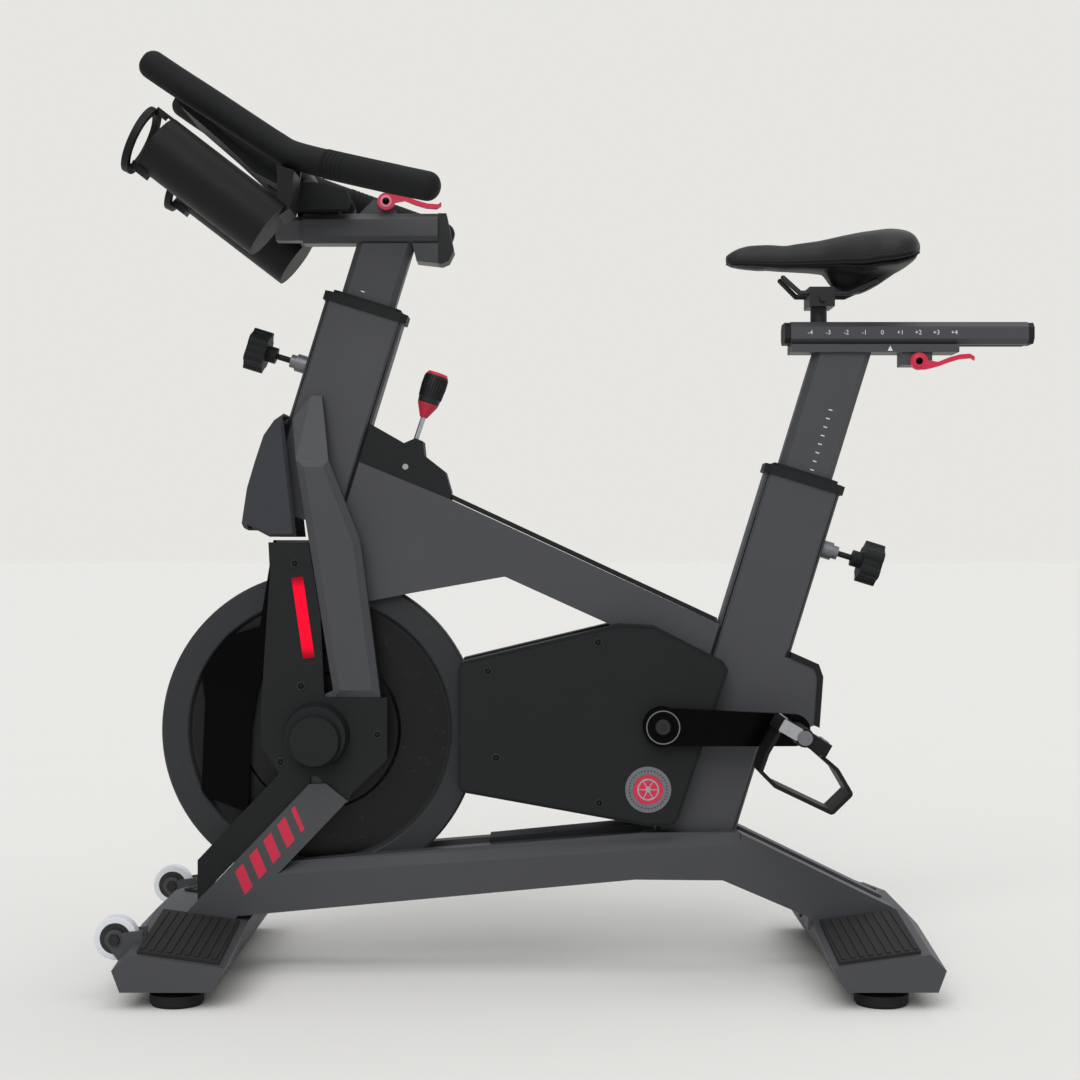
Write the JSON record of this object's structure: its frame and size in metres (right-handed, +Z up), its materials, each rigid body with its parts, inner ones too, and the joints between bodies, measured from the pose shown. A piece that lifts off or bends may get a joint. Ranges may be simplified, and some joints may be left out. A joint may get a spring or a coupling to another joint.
{
  "type": "indoor exercise bike",
  "caption": "Indoor cycling exercise bike with flywheel, belt drive, magnetic resistance lever, sliding seat and handlebar posts, bottle holders and levelling feet.",
  "frame": {"origin": "centre of the footprint, on the floor", "axes": "+X from the handlebar end towards the seat, +Y to the rider's right, +Z up"},
  "size_m": [1.219, 0.5, 1.2061],
  "materials": {
    "frame_grey": "satin charcoal grey powder coat",
    "black_plastic": "finely grained black moulded plastic",
    "black_metal": "gloss black paint",
    "flywheel_grey": "dark grey painted casting",
    "steel": "turned and plated steel",
    "rubber": "black rubber",
    "grip_foam": "soft black foam grip",
    "saddle_cover": "black stretch cover over a foam pad",
    "red_plastic": "red moulded plastic",
    "light_red": "red translucent strip light",
    "clear_tyre": "pale translucent polyurethane"
  },
  "bodies": {
    "root": {"front_stabiliser": "frame_grey", "rear_stabiliser": "frame_grey", "base_rail_left": "frame_grey", "base_rail_right": "frame_grey", "main_beam": "frame_grey", "head_tube": "frame_grey", "seat_tube": "frame_grey", "fork_left": "frame_grey", "fork_right": "frame_grey", "frame_trims": "black_plastic", "front_fairing": "black_plastic", "lever_housing": "black_plastic", "fork_cover_left": "black_plastic", "fork_cover_right": "black_plastic", "led_strips": "light_red", "guard_left": "black_plastic", "guard_right": "black_plastic", "fasteners": "black_metal", "crank_shell": "black_metal", "bearings": "steel", "tread_pads": "rubber", "head_collar": "black_plastic", "seat_collar": "black_plastic", "pin_bosses": "steel", "flywheel_axle": "steel", "drive_belt": "rubber"},
    "flywheel_body": {"flywheel": "flywheel_grey", "flywheel_hub": "flywheel_grey"},
    "crank_body": {"drive_pulley": "black_plastic", "crank_axle": "steel", "crank_left": "black_metal", "crank_right": "black_metal"},
    "pedal_left_body": {"pedal_left": "black_plastic", "toe_cage_left": "black_plastic"},
    "pedal_right_body": {"pedal_right": "black_plastic", "toe_cage_right": "black_plastic"},
    "magnet_body": {"magnet_carrier": "flywheel_grey"},
    "resistance_body": {"lever_rod": "steel", "lever_knob": "red_plastic"},
    "front_pin_body": {"front_knob": "black_plastic"},
    "rear_pin_body": {"rear_knob": "black_plastic"},
    "seat_post_body": {"seat_post": "frame_grey"},
    "seat_slider_body": {"seat_slider": "frame_grey", "slider_caps": "black_plastic", "saddle_clamp": "black_metal", "saddle": "saddle_cover"},
    "seat_lever_body": {"seat_lever": "red_plastic"},
    "bar_post_body": {"bar_post": "frame_grey"},
    "bar_slider_body": {"bar_slider": "frame_grey", "handlebar": "grip_foam", "stem_cover": "black_plastic", "bottle_left": "black_plastic", "bottle_right": "black_plastic"},
    "bar_lever_body": {"bar_lever": "red_plastic"},
    "wheel_left_body": {"wheel_left": "clear_tyre"},
    "wheel_right_body": {"wheel_right": "clear_tyre"},
    "foot_fl_body": {"foot_front_left": "rubber"},
    "foot_fr_body": {"foot_front_right": "rubber"},
    "foot_rl_body": {"foot_rear_left": "rubber"},
    "foot_rr_body": {"foot_rear_right": "rubber"}
  },
  "joints": [
    {"name": "crank_spin", "type": "hinge", "parent": "root", "child": "crank_body", "pos_m": [0.1095, 0, 0.329], "axis": [0, 1, 0], "continuous": true},
    {"name": "flywheel_spin", "type": "hinge", "parent": "root", "child": "flywheel_body", "pos_m": [-0.3465, 0, 0.319], "axis": [0, 1, 0], "continuous": true},
    {"name": "left_pedal_spin", "type": "hinge", "parent": "crank_body", "child": "pedal_left_body", "pos_m": [0.2815, -0.13, 0.325], "axis": [0, 1, 0], "continuous": true},
    {"name": "right_pedal_spin", "type": "hinge", "parent": "crank_body", "child": "pedal_right_body", "pos_m": [-0.0625, 0.13, 0.325], "axis": [0, 1, 0], "continuous": true},
    {"name": "resistance_lever", "type": "hinge", "parent": "root", "child": "resistance_body", "pos_m": [-0.2315, 0, 0.672], "axis": [0, 1, 0], "range_deg": [-18, 8]},
    {"name": "magnet_swing", "type": "hinge", "parent": "root", "child": "magnet_body", "pos_m": [-0.3865, 0, 0.562], "axis": [0, 1, 0], "range_deg": [-2.7, 1.2]},
    {"name": "front_pin_pull", "type": "slide", "parent": "root", "child": "front_pin_body", "axis": [-0.9553, 0, 0.2957], "range_m": [0, 0.012], "stiffness_N_per_m": 800, "springref_m": -0.004},
    {"name": "rear_pin_pull", "type": "slide", "parent": "root", "child": "rear_pin_body", "axis": [0.9553, 0, -0.2957], "range_m": [0, 0.012], "stiffness_N_per_m": 800, "springref_m": -0.004},
    {"name": "seat_height", "type": "slide", "parent": "root", "child": "seat_post_body", "axis": [0.2957, 0, 0.9553], "range_m": [-0.15, 0.07]},
    {"name": "seat_reach", "type": "slide", "parent": "seat_post_body", "child": "seat_slider_body", "axis": [1, 0, 0], "range_m": [-0.085, 0.07]},
    {"name": "seat_lever_turn", "type": "hinge", "parent": "seat_post_body", "child": "seat_lever_body", "pos_m": [0.455, -0.0243, 0.813], "axis": [0, 1, 0], "range_deg": [0, 110]},
    {"name": "bar_height", "type": "slide", "parent": "root", "child": "bar_post_body", "axis": [0.2957, 0, 0.9553], "range_m": [-0.06, 0.08]},
    {"name": "bar_reach", "type": "slide", "parent": "bar_post_body", "child": "bar_slider_body", "axis": [1, 0, 0], "range_m": [-0.06, 0.025]},
    {"name": "bar_lever_turn", "type": "hinge", "parent": "bar_post_body", "child": "bar_lever_body", "pos_m": [-0.258, -0.0153, 1.028], "axis": [0, 1, 0], "range_deg": [-100, 0]},
    {"name": "left_wheel_spin", "type": "hinge", "parent": "root", "child": "wheel_left_body", "pos_m": [-0.5815, -0.188, 0.0765], "axis": [0, 1, 0], "continuous": true},
    {"name": "right_wheel_spin", "type": "hinge", "parent": "root", "child": "wheel_right_body", "pos_m": [-0.5815, 0.188, 0.0765], "axis": [0, 1, 0], "continuous": true},
    {"name": "front_left_foot_level", "type": "slide", "parent": "root", "child": "foot_fl_body", "axis": [0, 0, -1], "range_m": [0, 0.012]},
    {"name": "front_right_foot_level", "type": "slide", "parent": "root", "child": "foot_fr_body", "axis": [0, 0, -1], "range_m": [0, 0.012]},
    {"name": "rear_left_foot_level", "type": "slide", "parent": "root", "child": "foot_rl_body", "axis": [0, 0, -1], "range_m": [0, 0.012]},
    {"name": "rear_right_foot_level", "type": "slide", "parent": "root", "child": "foot_rr_body", "axis": [0, 0, -1], "range_m": [0, 0.012]}
  ],
  "couplings": [
    {"joint": "flywheel_spin", "follows": "crank_spin", "ratio": 3.065},
    {"joint": "magnet_swing", "follows": "resistance_lever", "ratio": 0.15}
  ]
}
